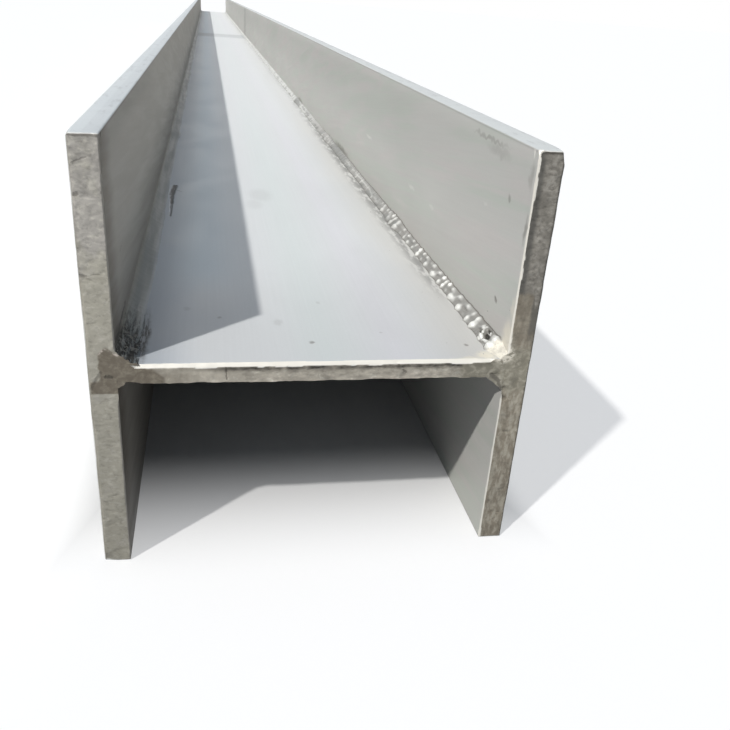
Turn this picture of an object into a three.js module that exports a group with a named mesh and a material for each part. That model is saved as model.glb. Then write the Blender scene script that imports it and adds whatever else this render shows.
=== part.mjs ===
// Welded steel H-beam, 200 x 200 mm, 8 mm web, 12 mm flanges, 6 m long.
// Three plates, each butt-spliced once on its way, joined by a fillet weld along each inner corner.
// X runs across the section, Y along the beam and Z up. The web lies level and the flanges stand,
// so the beam rests on the lower edges of its flanges. The origin is at the middle of the length,
// on the surface that it rests on.
import * as THREE from 'three';

// Section, mm
const sectionDepth = 200; // over both flanges, along X
const flangeWidth = 200; // along Z
const flangeThickness = 12;
const webThickness = 8;
const fitUpGap = 0.3; // web edge to flange, closed by the welds

// Length, mm
const beamLength = 6000;
const spliceFromFront = 2800;

// Edges, mm
const endBevel = 1.2; // ground along the upright edges of the end faces and the web's upper end edges
const endBevelDepth = 1;
const longEdgeBevel = 0.8; // knocked off the plates' long edges

// Butt splice: a V groove with a root gap, filled and ground flush
const grooveAngle = THREE.MathUtils.degToRad(60);
const rootGap = 2;
const fusionGap = 0.3; // between the weld metal and the groove's sides

// Fillet welds: leg lengths from the root of the corner, and how far a bead's face stands past the line
// between its toes, below zero where it is hollow. They were laid by hand, and no two are alike.
// A bead with a tack share of 1 swells fully over its tacks.
const filletWelds = [
  {
    name: 'fillet_weld_upper_left', side: -1, upDown: 1,
    onWeb: 8.4, onFlange: 5.8, swell: -0.7, tackShare: 0.25, phase: 0,
  },
  {
    name: 'fillet_weld_upper_right', side: 1, upDown: 1,
    onWeb: 5.6, onFlange: 4.8, swell: 0.6, tackShare: 1, phase: 1.7,
  },
  {
    name: 'fillet_weld_lower_left', side: -1, upDown: -1,
    onWeb: 4.5, onFlange: 4.3, swell: 0.6, tackShare: 1, phase: 3.4,
  },
  {
    name: 'fillet_weld_lower_right', side: 1, upDown: -1,
    onWeb: 6.8, onFlange: 5.7, swell: 0.3, tackShare: 1, phase: 5.1,
  },
];
const faceSteps = 4;
const endGrind = 1.2; // the bead's ends are dressed back over this length
const endGrindSize = 0.84;

// The plates were tacked first, and the beads then run from tack to tack.
// A span starts on one tack's crest, and a new electrode starts with a lump on its way.
const firstTack = 235; // from the front end, after the tack at the end itself
const tackPitch = 350;
const spanShape = [
  { along: 0, size: 1.5 },
  { along: 0.06, size: 1.38 },
  { along: 0.12, size: 1.04 },
  { along: 0.34, size: 0.92 },
  { along: 0.53, size: 0.98 },
  { along: 0.56, size: 1.12 },
  { along: 0.62, size: 0.94 },
  { along: 0.89, size: 1.02 },
  { along: 0.94, size: 1.36 },
];
const spanVariation = 0.08;

const innerFace = sectionDepth / 2 - flangeThickness;
const webUnderside = (flangeWidth - webThickness) / 2;
const webTop = webUnderside + webThickness;
const frontEnd = -beamLength / 2;
const rearEnd = beamLength / 2;
const spliceY = frontEnd + spliceFromFront;

const steel = (color, roughness) => new THREE.MeshStandardMaterial({ color, roughness, metalness: 1 });
const webSteel = steel(0xc9cccb, 0.42);
const flangeSteel = steel(0xb9b8b2, 0.46);
const filletSteel = steel(0xd0d0cb, 0.36);
const spliceSteel = steel(0xa9a9a4, 0.5);

const beam = new THREE.Group();
beam.name = 'h_beam';

function addPiece(name, geometry, material) {
  const mesh = new THREE.Mesh(geometry, material);
  mesh.name = name;
  beam.add(mesh);
  return mesh;
}

// Half the groove's width at a height above its root.
function grooveHalfWidth(height) {
  return rootGap / 2 + height * Math.tan(grooveAngle / 2);
}

// Outline of one plate length seen on its edge: [station along the beam, height above its root face].
// The face that the groove opens on is at the plate's thickness. An end bevel can be on one face or both.
function frontPlateOutline(thickness, bevelBothFaces) {
  const rootCorner = bevelBothFaces
    ? [[frontEnd + endBevelDepth, 0], [frontEnd, endBevel]]
    : [[frontEnd, 0]];
  return [
    [spliceY - grooveHalfWidth(0), 0],
    [spliceY - grooveHalfWidth(thickness), thickness],
    [frontEnd + endBevelDepth, thickness],
    [frontEnd, thickness - endBevel],
    ...rootCorner.reverse(),
  ];
}

function rearPlateOutline(thickness, bevelBothFaces) {
  const rootCorner = bevelBothFaces
    ? [[rearEnd - endBevelDepth, 0], [rearEnd, endBevel]]
    : [[rearEnd, 0]];
  return [
    [spliceY + grooveHalfWidth(0), 0],
    ...rootCorner,
    [rearEnd, thickness - endBevel],
    [rearEnd - endBevelDepth, thickness],
    [spliceY + grooveHalfWidth(thickness), thickness],
  ];
}

// The weld metal between the two lengths, clear of the groove's sloped sides.
function spliceOutline(thickness) {
  const sideGap = fusionGap / Math.cos(grooveAngle / 2);
  const root = grooveHalfWidth(0) - sideGap;
  const face = grooveHalfWidth(thickness) - sideGap;
  return [
    [spliceY - root, 0],
    [spliceY + root, 0],
    [spliceY + face, thickness],
    [spliceY - face, thickness],
  ];
}

// A plate is its edge outline drawn out over its width, with the long edges knocked off.
function drawnOut(outline, width, edgeBevel) {
  const shape = new THREE.Shape(outline.map(([along, height]) => new THREE.Vector2(along, height)));
  const geometry = new THREE.ExtrudeGeometry(shape, {
    depth: width - 2 * edgeBevel,
    bevelEnabled: edgeBevel > 0,
    bevelThickness: edgeBevel,
    bevelSize: edgeBevel,
    bevelOffset: -edgeBevel,
    bevelSegments: 1,
  });
  return geometry.translate(0, 0, edgeBevel - width / 2);
}

// Web: the outline's length runs along Y, its height along Z and its width along X.
function webPiece(outline) {
  const width = 2 * (innerFace - fitUpGap);
  const basis = new THREE.Matrix4().makeBasis(
    new THREE.Vector3(0, 1, 0),
    new THREE.Vector3(0, 0, 1),
    new THREE.Vector3(1, 0, 0),
  );
  return drawnOut(outline, width, 0).applyMatrix4(basis).translate(0, 0, webUnderside);
}

// Flange: length along Y, height above the inner face outwards along X, width along Z.
// A half turn about the beam's own upright axis would swap its ends, so the left flange is turned
// about Y instead.
function flangePiece(outline, side) {
  const basis = new THREE.Matrix4().makeBasis(
    new THREE.Vector3(0, 1, 0),
    new THREE.Vector3(side, 0, 0),
    new THREE.Vector3(0, 0, -side),
  );
  return drawnOut(outline, flangeWidth, longEdgeBevel)
    .applyMatrix4(basis)
    .translate(side * innerFace, 0, flangeWidth / 2);
}

// Points across a bead, in the corner's own frame: [distance from the flange, distance from the web].
function beadSection({ onWeb, onFlange, swell }, size) {
  const toeOnWeb = new THREE.Vector2(onWeb * size, 0);
  const toeOnFlange = new THREE.Vector2(0, onFlange * size);
  const outward = new THREE.Vector2(onFlange, onWeb).normalize();
  const points = [new THREE.Vector2(0, 0)];
  for (let step = 0; step <= faceSteps; step += 1) {
    const part = step / faceSteps;
    const bulge = 4 * part * (1 - part) * swell * size;
    points.push(toeOnWeb.clone().lerp(toeOnFlange, part).addScaledVector(outward, bulge));
  }
  return points;
}

// Stations along a bead with the bead's size at each.
function beadStations({ tackShare, phase }) {
  const tacks = [frontEnd];
  for (let y = frontEnd + firstTack; y < rearEnd; y += tackPitch) {
    tacks.push(y);
  }
  tacks.push(rearEnd);
  const sizeOf = (place) => 1 + spanVariation * Math.sin(2.4 * place + phase);
  const swollen = (size) => 1 + (size - 1) * tackShare;
  const endSize = swollen(spanShape[0].size);
  const stations = [{ y: frontEnd, size: endGrindSize * endSize }];
  for (let span = 0; span + 1 < tacks.length; span += 1) {
    for (const { along, size } of spanShape) {
      const y = THREE.MathUtils.lerp(tacks[span], tacks[span + 1], along);
      stations.push({ y: Math.max(y, frontEnd + endGrind), size: swollen(size) * sizeOf(span + along) });
    }
  }
  stations.push({ y: rearEnd - endGrind, size: endSize });
  stations.push({ y: rearEnd, size: endGrindSize * endSize });
  return stations;
}

// A fillet bead: the section lofted through its stations, with flat ends.
function filletBead(weld) {
  const { side, upDown } = weld;
  const positions = [];
  const triangles = [];
  const webFace = upDown > 0 ? webTop : webUnderside;
  const turned = side * upDown < 0;
  const addTriangle = (a, b, c) => triangles.push(...(turned ? [a, c, b] : [a, b, c]));
  const stations = beadStations(weld);
  for (const { y, size } of stations) {
    for (const point of beadSection(weld, size)) {
      positions.push(side * (innerFace - point.x), y, webFace + upDown * point.y);
    }
  }
  const ring = faceSteps + 2;
  for (let station = 0; station + 1 < stations.length; station += 1) {
    for (let i = 0; i < ring; i += 1) {
      const near = station * ring + i;
      const nearNext = station * ring + ((i + 1) % ring);
      addTriangle(near, nearNext, near + ring);
      addTriangle(nearNext, nearNext + ring, near + ring);
    }
  }
  const last = (stations.length - 1) * ring;
  for (let i = 1; i + 1 < ring; i += 1) {
    addTriangle(0, i + 1, i);
    addTriangle(last, last + i, last + i + 1);
  }
  const geometry = new THREE.BufferGeometry();
  geometry.setAttribute('position', new THREE.Float32BufferAttribute(positions, 3));
  geometry.setIndex(triangles);
  geometry.computeVertexNormals();
  return geometry;
}

addPiece('web_plate_front', webPiece(frontPlateOutline(webThickness, false)), webSteel);
addPiece('web_plate_rear', webPiece(rearPlateOutline(webThickness, false)), webSteel);
addPiece('splice_weld_web', webPiece(spliceOutline(webThickness)), spliceSteel);

for (const [name, side] of [['left', -1], ['right', 1]]) {
  const front = flangePiece(frontPlateOutline(flangeThickness, true), side);
  const rear = flangePiece(rearPlateOutline(flangeThickness, true), side);
  addPiece(`flange_plate_${name}_front`, front, flangeSteel);
  addPiece(`flange_plate_${name}_rear`, rear, flangeSteel);
  addPiece(`splice_weld_flange_${name}`, flangePiece(spliceOutline(flangeThickness), side), spliceSteel);
}

for (const weld of filletWelds) {
  addPiece(weld.name, filletBead(weld), filletSteel);
}

export default beam;
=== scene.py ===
# Welded steel H-beam: plates with rough cut ends, woven fillet welds, and a pale studio floor.
import functools
import math
import types
import bmesh
import bpy
import numpy as np
from mathutils import Matrix, Vector, noise


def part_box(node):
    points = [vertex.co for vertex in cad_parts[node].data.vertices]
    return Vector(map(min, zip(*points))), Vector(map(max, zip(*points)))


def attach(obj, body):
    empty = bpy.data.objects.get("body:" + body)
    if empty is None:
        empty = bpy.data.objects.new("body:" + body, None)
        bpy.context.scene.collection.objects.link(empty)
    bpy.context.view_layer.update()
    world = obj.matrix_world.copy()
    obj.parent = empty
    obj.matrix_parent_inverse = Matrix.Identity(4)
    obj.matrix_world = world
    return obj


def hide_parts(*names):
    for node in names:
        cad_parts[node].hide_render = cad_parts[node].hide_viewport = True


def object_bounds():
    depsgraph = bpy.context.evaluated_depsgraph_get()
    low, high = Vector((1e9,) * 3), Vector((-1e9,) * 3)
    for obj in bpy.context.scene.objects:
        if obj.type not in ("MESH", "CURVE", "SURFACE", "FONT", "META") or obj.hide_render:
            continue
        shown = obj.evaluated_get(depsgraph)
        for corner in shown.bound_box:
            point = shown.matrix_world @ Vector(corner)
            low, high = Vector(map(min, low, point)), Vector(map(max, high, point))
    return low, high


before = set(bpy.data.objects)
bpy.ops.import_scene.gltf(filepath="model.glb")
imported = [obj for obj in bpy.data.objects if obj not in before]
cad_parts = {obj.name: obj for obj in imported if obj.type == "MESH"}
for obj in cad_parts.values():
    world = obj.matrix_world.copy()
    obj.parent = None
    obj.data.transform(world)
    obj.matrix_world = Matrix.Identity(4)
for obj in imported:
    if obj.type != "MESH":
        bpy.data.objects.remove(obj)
cadLow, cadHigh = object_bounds()
mm = 0.001

flangeLow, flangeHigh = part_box("flange_plate_right_front")
webLow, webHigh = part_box("web_plate_front")
weldLow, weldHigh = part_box("splice_weld_flange_right")

beam = {
    "front": cadLow.y,
    "rear": cadHigh.y,
    "inner": flangeLow.x,  # flange faces, from the middle of the web
    "outer": flangeHigh.x,
    "top": flangeHigh.z,
    "webUnder": webLow.z,
    "webTop": webHigh.z,
    "splice": (weldLow.y + weldHigh.y) / 2,
}
spliceAlong = (beam["splice"] - beam["front"]) / mm
middleUp = beam["top"] / 2 / mm
groove = {"rootGap": 2 * mm, "slope": math.tan(math.radians(30))}  # the splice's V, narrow on its root face
wholeTurn = 2 * math.pi


class Field:
    # a socket in a node tree; arithmetic on it adds Math nodes
    def __init__(self, socket):
        self.socket = socket
        self.tree = socket.id_data

    def calc(self, operation, *others):
        node = self.tree.nodes.new("ShaderNodeMath")
        node.operation = operation
        for socket, value in zip(node.inputs, (self, *others)):
            feed(value, socket)
        return Field(node.outputs[0])

    __add__ = __radd__ = functools.partialmethod(calc, "ADD")
    __sub__ = functools.partialmethod(calc, "SUBTRACT")
    __mul__ = __rmul__ = functools.partialmethod(calc, "MULTIPLY")
    __truediv__ = functools.partialmethod(calc, "DIVIDE")
    __abs__ = functools.partialmethod(calc, "ABSOLUTE")
    above = functools.partialmethod(calc, "GREATER_THAN")
    atLeast = functools.partialmethod(calc, "MAXIMUM")
    atMost = functools.partialmethod(calc, "MINIMUM")

    def __rsub__(self, other):
        return self * -1 + other

    def swing(self, by):
        # what runs from 0 to 1, made to run as far to both sides of 0
        return (self - 0.5) * by

    def ramp(self, start, end, low=0, high=1):
        # smooth step from low at start to high at end
        inputs = {"From Min": start, "From Max": end, "To Min": low, "To Max": high, "Value": self}
        return addNode(self.tree, "ShaderNodeMapRange", inputs, interpolation_type="SMOOTHSTEP")

    def hump(self, centre, width):
        # bell curve round a centre
        off = (self - centre) / width
        return (off * off * -1).calc("EXPONENT")


def feed(value, socket):
    if isinstance(value, Field):
        value.tree.links.new(value.socket, socket)
    else:
        socket.default_value = value


def addNode(tree, kind, inputs=None, out=0, **settings):
    # a new node, as the field of one of its outputs
    node = tree.nodes.new(kind)
    for name, value in settings.items():
        setattr(node, name, value)
    for name, value in (inputs or {}).items():
        feed(value, node.inputs[name])
    return Field(node.outputs[out])


def treeOf(*values):
    return next(value.tree for value in values if isinstance(value, Field))


def vector(x, y, z):
    return addNode(treeOf(x, y, z), "ShaderNodeCombineXYZ", {"X": x, "Y": y, "Z": z})


def vectorMath(operation, *values, out=0):
    # the factor of SCALE has a socket of its own
    sockets = (0, "Scale") if operation == "SCALE" else (0, 1)
    inputs = dict(zip(sockets, values))
    return addNode(treeOf(*values), "ShaderNodeVectorMath", inputs, out, operation=operation)


def split(value):
    first = addNode(value.tree, "ShaderNodeSeparateXYZ", {0: value})
    return [Field(out) for out in first.socket.node.outputs]


def clouds(x, y, z, detail=2, roughness=0.5, warp=0):
    # fractal noise from 0 to 1 at a place given in lumps
    place = vector(x, y, z)
    inputs = {"Vector": place, "Scale": 1, "Detail": detail, "Roughness": roughness, "Distortion": warp}
    return addNode(place.tree, "ShaderNodeTexNoise", inputs)


def strongest(fields):
    return functools.reduce(Field.atLeast, fields)


def inScene(name, data):
    # a new object for a mesh, a lamp or the camera
    holder = bpy.data.objects.new(name, data)
    bpy.context.scene.collection.objects.link(holder)
    return holder


def newPiece(name, mesh, material):
    # a finished piece, webPlateFront, stands for its CAD node, web_plate_front, which it hides
    node = "".join("_" + letter.lower() if letter.isupper() else letter for letter in name)
    piece = inScene(name, mesh)
    mesh.materials.clear()
    mesh.materials.append(material)
    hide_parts(node)
    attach(piece, "root")
    "_".join(node.split("_")[:2])
    return piece


def cleaned(mesh, sharpDegrees):
    # doubles merged, faces outwards, smooth apart from its sharp edges
    mergeDistance = 1e-7
    work = bmesh.new()
    work.from_mesh(mesh)
    bmesh.ops.remove_doubles(work, verts=work.verts, dist=mergeDistance)
    bmesh.ops.recalc_face_normals(work, faces=work.faces)
    for face in work.faces:
        face.smooth = True
    for edge in work.edges:
        edge.smooth = edge.calc_face_angle(0) < math.radians(sharpDegrees)
    work.to_mesh(mesh)
    work.free()


def setAttribute(mesh, name, values):
    layer = mesh.attributes.get(name) or mesh.attributes.new(name, "FLOAT", "POINT")
    layer.data.foreach_set("value", np.asarray(values, np.float32))


def pointsOf(mesh):
    flat = np.zeros(len(mesh.vertices) * 3, np.float32)
    mesh.vertices.foreach_get("co", flat)
    return flat.reshape(-1, 3).astype(float)


def setPoints(mesh, points):
    mesh.vertices.foreach_set("co", points.astype(np.float32).ravel())


def fractal(points, lump, octaves=3):
    # noise round 0 at points in metres; lump is its coarsest size
    return np.array([noise.fractal(Vector(p) / lump, 1, 2, octaves) for p in points])


# All pieces share one relief on the beam's cut ends, so that it runs on across their joints.
endRelief = {  # millimetres
    "reach": 16,  # how far from an end anything changes
    "swell": 7, "swellHeight": 0.30,
    "grit": 1.6, "gritHeight": 0.11,
    "flake": 6.5, "flakeHeight": 0.2, "flakeShare": 0.13,  # scaly edges where the cut tore
    "patch": 30, "tornFrom": 130, "tornOver": 90,  # they lie in patches, mostly high up
    "drag": 2.3, "dragHeight": 0.05, "dragWander": 14,  # lines that the cut left through the thickness
    "fade": 2.5,  # how far the relief reaches along the faces
    # short scores across the flanges: how many, how they run, and where they start from the middle
    "scored": 34, "scoreDepth": 0.36, "scoreWidth": 0.5, "scoreSlope": 0.35,
    "scoreStart": (88, 96), "scoreLength": (3, 9), "scoreMiddle": 94,
    "seed": 11,
}
# dents in the front end: across and up, radius, depth
frontDents = [
    (89.6, 198.6, 2.2, 1.4), (98.9, 188, 2, 0.5),
    (-99.4, 1.2, 3.4, 1.3), (-99.4, 143.9, 1.6, 0.5), (-96, 190, 2.6, 0.4), (-98.6, 176.5, 1.8, 0.4),
    (-94.5, 178, 2, 0.3), (-99.6, 154.5, 1.4, 0.5),
    (35, 103.4, 1.5, 0.6), (38.5, 98, 1.2, 0.35), (-41.8, 100, 0.6, 0.5),
    (84.5, 97, 2, 0.3), (83.5, 94.5, 2.2, 0.9), (88.5, 88, 1.6, 0.9), (89.5, 83, 1.4, 0.8),
    (94, 92, 2.6, 0.4),
]


def cutDepth(x, z, endSeed):
    # how deep the cut face lies at a place on the end, in mm
    r = endRelief
    flat = np.stack([x * mm, np.full_like(x, endSeed), z * mm], 1)
    depth = r["swellHeight"] * (0.5 + 0.5 * fractal(flat, r["swell"] * mm, 2))
    depth += r["gritHeight"] * (0.5 + 0.5 * fractal(flat, r["grit"] * mm))
    slanted = np.stack([(x - 0.4 * z) * mm, np.full_like(x, 3 + endSeed), (1.7 * z + 0.3 * x) * mm], 1)
    scale = fractal(slanted, r["flake"] * mm)
    high = np.clip((z - r["tornFrom"]) / r["tornOver"], -0.35, 0.45)
    torn = np.clip(0.5 + fractal(flat + 0.05, r["patch"] * mm, 2) + high, 0, 1)
    depth += r["flakeHeight"] * np.exp(-(scale / r["flakeShare"]) ** 2) * torn
    onFlange = np.abs(x) > beam["inner"] / mm
    across = np.where(onFlange, z + 0.12 * x, x + 0.2 * z)
    wander = fractal(flat, r["dragWander"] * mm, 2)
    depth += r["dragHeight"] * (0.5 + 0.5 * np.sin(wholeTurn * (across / r["drag"] + 2.2 * wander)))
    rng = np.random.default_rng(r["seed"] + int(endSeed))
    for _ in range(r["scored"]):
        side, level = rng.choice([-1, 1]), rng.uniform(4, 196)
        slope = rng.uniform(-r["scoreSlope"], r["scoreSlope"])
        deep, wide = rng.uniform(0.2, 1) * r["scoreDepth"], rng.uniform(0.5, 1.4) * r["scoreWidth"]
        start, length = rng.uniform(*r["scoreStart"]), rng.uniform(*r["scoreLength"])
        off = (z - level - slope * (np.abs(x) - r["scoreMiddle"])) / wide
        along = np.clip((np.abs(x) - start) / length, 0, 1)
        depth += deep * np.exp(-off * off) * np.sin(math.pi * along) * (np.sign(x) == side)
    if endSeed == 0:
        for dentX, dentZ, radius, deep in frontDents:
            near = ((x - dentX) ** 2 + (z - dentZ) ** 2) / radius ** 2
            depth += deep * np.exp(-near * 1.5)
    return np.clip(depth, 0, None)


grinding = {
    "wander": 16,  # millimetres over which a ground edge comes out uneven
    "uneven": 1.6, "least": 0.25, "most": 1.9,  # how its size varies
    "runOut": 2.5,  # millimetres that it takes to end
}


def chamfer(end, run, faces, uneven=0.5, bright=0, spare=None):
    # A ground plane off an end's edge: run along the beam, and on each face (axis, place, side, drop) in mm.
    # Spare is an axis with the range where nothing was ground.
    return {"end": end, "run": run, "faces": faces, "uneven": uneven, "bright": bright, "spare": spare}


def grindEdge(x, z, e, place, cut):
    # pushes the points beyond one chamfer's plane back onto it; returns the new places and how ground each is
    jitter = fractal(place + cut["end"], grinding["wander"] * mm) * cut["uneven"]
    size = np.clip(1 + grinding["uneven"] * jitter, grinding["least"], grinding["most"])
    run = cut["run"] * size
    lacking, squares = 1 - e / run, 1 / run ** 2
    for axis, face, side, drop in cut["faces"]:
        lacking = lacking - (face - (x if axis == "x" else z)) * side / (drop * size)
        squares = squares + 1 / (drop * size) ** 2
    if cut["spare"]:
        axis, low, high = cut["spare"]
        value = np.abs(x) if axis == "x" else z
        inside = np.minimum(value - low, high - value)
        lacking = lacking - np.clip(inside / grinding["runOut"] + 0.5, 0, 1)
    push = np.clip(lacking, 0, None) / squares
    e = e + push / run
    for axis, face, side, drop in cut["faces"]:
        if axis == "x":
            x = x - push / (drop * size) * side
        else:
            z = z - push / (drop * size) * side
    return x, z, e, np.clip(lacking / 0.04, 0, 1)


def roughenEnds(points, chamfers=()):
    # grinds the edges and roughens the cut faces; returns the cut, ground and depth values
    cut, ground, depth = (np.zeros(len(points)) for _ in range(3))
    for endSeed, (endY, inward) in enumerate(((beam["front"], 1), (beam["rear"], -1))):
        off = (points[:, 1] - endY) * inward / mm
        near = np.where(off < endRelief["reach"])[0]
        if not len(near):
            continue
        x, z, e = points[near, 0] / mm, points[near, 2] / mm, off[near]
        cut[near] = np.where(e < 0.02, 1, 0)
        place = points[near].copy()
        for edge in chamfers:
            if edge["end"] != endSeed:
                continue
            x, z, e, hit = grindEdge(x, z, e, place, edge)
            if edge["bright"] > 0:
                ground[near] = np.maximum(ground[near], hit * edge["bright"])
                cut[near] = np.where(hit > 0.5, 0, cut[near])
        fade = np.clip(1 - e / endRelief["fade"], 0, 1) ** 2
        deep = cutDepth(x, z, endSeed)
        depth[near] = deep * fade
        e = e + deep * fade
        points[near, 0], points[near, 2] = x * mm, z * mm
        points[near, 1] = endY + inward * e * mm
    return cut, ground, depth


# the burr that the cut left hanging under the web's front edge
frontBurr = {  # millimetres
    "hang": 1.6, "back": 2.6, "into": 3.4,
    "uneven": 0.25, "lump": 7, "seed": 5,
    "welds": 82, "runOut": 4, "curve": 1.3,  # it ends before the corners, and thins towards the back
    # place, half width, how much more hangs there
    "drips": [(69, 2.4, 0.6), (66, 1.4, 0.35), (-20, 3, 0.25), (31, 2, 0.25)],
}


def hangBurr(points):
    b = frontBurr
    level = (points[:, 2] - beam["webUnder"]) / mm
    back = (points[:, 1] - beam["front"]) / mm
    near = np.where((back < b["back"]) & (level < b["into"]))[0]
    x = points[near, 0] / mm
    flat = np.stack([points[near, 0], np.full(len(near), b["seed"]), np.zeros(len(near))], 1)
    hang = b["hang"] * (1 + b["uneven"] * fractal(flat, b["lump"] * mm))
    for place, half, more in b["drips"]:
        hang += more * np.exp(-((x - place) / half) ** 2)
    hang *= np.clip((b["welds"] - np.abs(x)) / b["runOut"], 0, 1)
    hang *= np.clip(1 - back[near] / b["back"], 0, 1) ** b["curve"]
    hang *= np.clip(1 - level[near] / b["into"], 0, 1)
    points[near, 2] -= hang * mm


plateGrid = {  # millimetres and degrees
    "fineStations": [0, 0.3, 0.6, 0.95, 1.35, 1.8, 2.3, 2.9, 3.6, 4.6],
    "coarseStations": [7, 12, 20, 35, 60, 100, 160, 250, 400, 600, 850, 1150, 1500, 1900, 2350, 2700],
    "beforeSplice": 20,
    "fineStep": 0.55,
    "coarseStep": 8,
    "cornerRadius": 0.8,
    "cornerTurns": (45, 67.5),
    "sharp": 38,
}


def sideSteps(length, step, radius):
    # places along one side of a rounded section, each with how far it lies below the side
    turns = [math.radians(degrees) for degrees in plateGrid["cornerTurns"]]
    corner = [(radius - radius * math.cos(turn), radius - radius * math.sin(turn)) for turn in turns]
    count = max(2, round((length - 2 * radius) / step))
    run = [(radius + (length - 2 * radius) * i / count, 0) for i in range(count + 1)]
    mirrored = [(length - along, drop) for along, drop in reversed(corner)]
    return corner + run + mirrored


def sectionSides(width, thickness, step):
    # the section's four sides as (across, through) places, going round it
    radius = plateGrid["cornerRadius"]
    wide = sideSteps(width, step, radius)
    thick = sideSteps(thickness, step, radius)
    return [
        [(a, thickness - d) for a, d in wide],
        [(width - d, thickness - a) for a, d in thick],
        [(width - a, d) for a, d in wide],
        [(d, a) for a, d in thick],
    ]


def ringPoints(sides):
    # a side's last place is the next side's first
    return [place for side in sides for place in side[:-1]]


def skin(rings):
    # quads between rings of as many points, one after another
    count = len(rings[0])
    return [
        (lower[i], lower[(i + 1) % count], upper[(i + 1) % count], upper[i])
        for lower, upper in zip(rings, rings[1:]) for i in range(count)
    ]


def zipSides(fineRing, coarseRing, fineSides, coarseSides):
    # triangles between two rings with other steps, side by side
    faces = []
    fineStart = coarseStart = 0
    for fineSide, coarseSide in zip(fineSides, coarseSides):
        fineCount, coarseCount = len(fineSide) - 1, len(coarseSide) - 1
        i = j = 0
        while i < fineCount or j < coarseCount:
            fineHere = fineRing[(fineStart + i) % len(fineRing)]
            coarseHere = coarseRing[(coarseStart + j) % len(coarseRing)]
            if j == coarseCount or (i < fineCount and (i + 1) / fineCount <= (j + 1) / coarseCount):
                i += 1
                faces.append((fineHere, fineRing[(fineStart + i) % len(fineRing)], coarseHere))
            else:
                j += 1
                faces.append((fineHere, coarseRing[(coarseStart + j) % len(coarseRing)], coarseHere))
        fineStart += fineCount
        coarseStart += coarseCount
    return faces


def capInside(sides):
    # inner places of an end's grid, blended from its four sides
    top, right, bottom, left = [np.array(side) for side in sides]
    bottom, right = bottom[::-1], right[::-1]
    a = np.linspace(0, 1, len(top))[1:-1, None, None]
    b = np.linspace(0, 1, len(left))[None, 1:-1, None]
    rows = (1 - b) * bottom[1:-1, None] + b * top[1:-1, None]
    columns = (1 - a) * left[None, 1:-1] + a * right[None, 1:-1]
    corners = (1 - a) * ((1 - b) * bottom[0] + b * top[0]) + a * ((1 - b) * bottom[-1] + b * top[-1])
    return (rows + columns - corners).reshape(-1, 2)


def addPlaces(points, places, along):
    # adds a section's places, each as far along as its height says; returns their numbers
    start = len(points)
    points += [(along(through), across, through) for across, through in places]
    return list(range(start, len(points)))


def addCap(points, ring, sides, along):
    # closes a ring with a grid whose border it is; returns the grid's faces
    inside = addPlaces(points, capInside(sides), along)
    wide, thick = len(sides[0]), len(sides[1])
    table = np.zeros((wide, thick), int)
    start = 0
    for border in (table[:, -1], table[-1, ::-1], table[::-1, 0], table[0]):
        border[:] = [ring[(start + i) % len(ring)] for i in range(len(border))]
        start += len(border) - 1
    table[1:-1, 1:-1] = np.reshape(inside, (wide - 2, thick - 2))
    return [
        (table[i, j], table[i + 1, j], table[i + 1, j + 1], table[i, j + 1])
        for i in range(wide - 1) for j in range(thick - 1)
    ]


def grooveAt(through):
    # half the splice's width at a height over the plate's root face, in mm
    return groove["rootGap"] / mm / 2 + through * groove["slope"]


def plateMesh(name, width, thickness, length, place):
    # a plate from its free end to the groove; place turns (along, across, through) in mm into metres
    grid = plateGrid
    fine = sectionSides(width, thickness, grid["fineStep"])
    coarse = sectionSides(width, thickness, grid["coarseStep"])
    stations = [e for e in grid["coarseStations"] if e < length - 2 * grid["beforeSplice"]]
    stations.append(length - grid["beforeSplice"])
    points = []

    def toGroove(through):
        return length - grooveAt(through)

    rings = [addPlaces(points, ringPoints(fine), lambda through, e=e: e) for e in grid["fineStations"]]
    faces = addCap(points, rings[0], fine, lambda through: 0)
    faces += skin(rings)
    coarseRings = [addPlaces(points, ringPoints(coarse), lambda through, e=e: e) for e in stations]
    coarseRings.append(addPlaces(points, ringPoints(coarse), toGroove))
    faces += zipSides(rings[-1], coarseRings[0], fine, coarse)
    faces += skin(coarseRings)
    faces += addCap(points, coarseRings[-1], coarse, toGroove)
    mesh = bpy.data.meshes.new(name)
    mesh.from_pydata([place(*point) for point in points], [], faces)
    return mesh


def flangePlace(side, endY, inward):
    def place(along, across, through):
        return (side * (beam["inner"] + through * mm), endY + inward * along * mm, across * mm)
    return place


def webPlace(endY, inward):
    def place(along, across, through):
        return (across * mm - beam["inner"], endY + inward * along * mm, beam["webUnder"] + through * mm)
    return place


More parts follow.
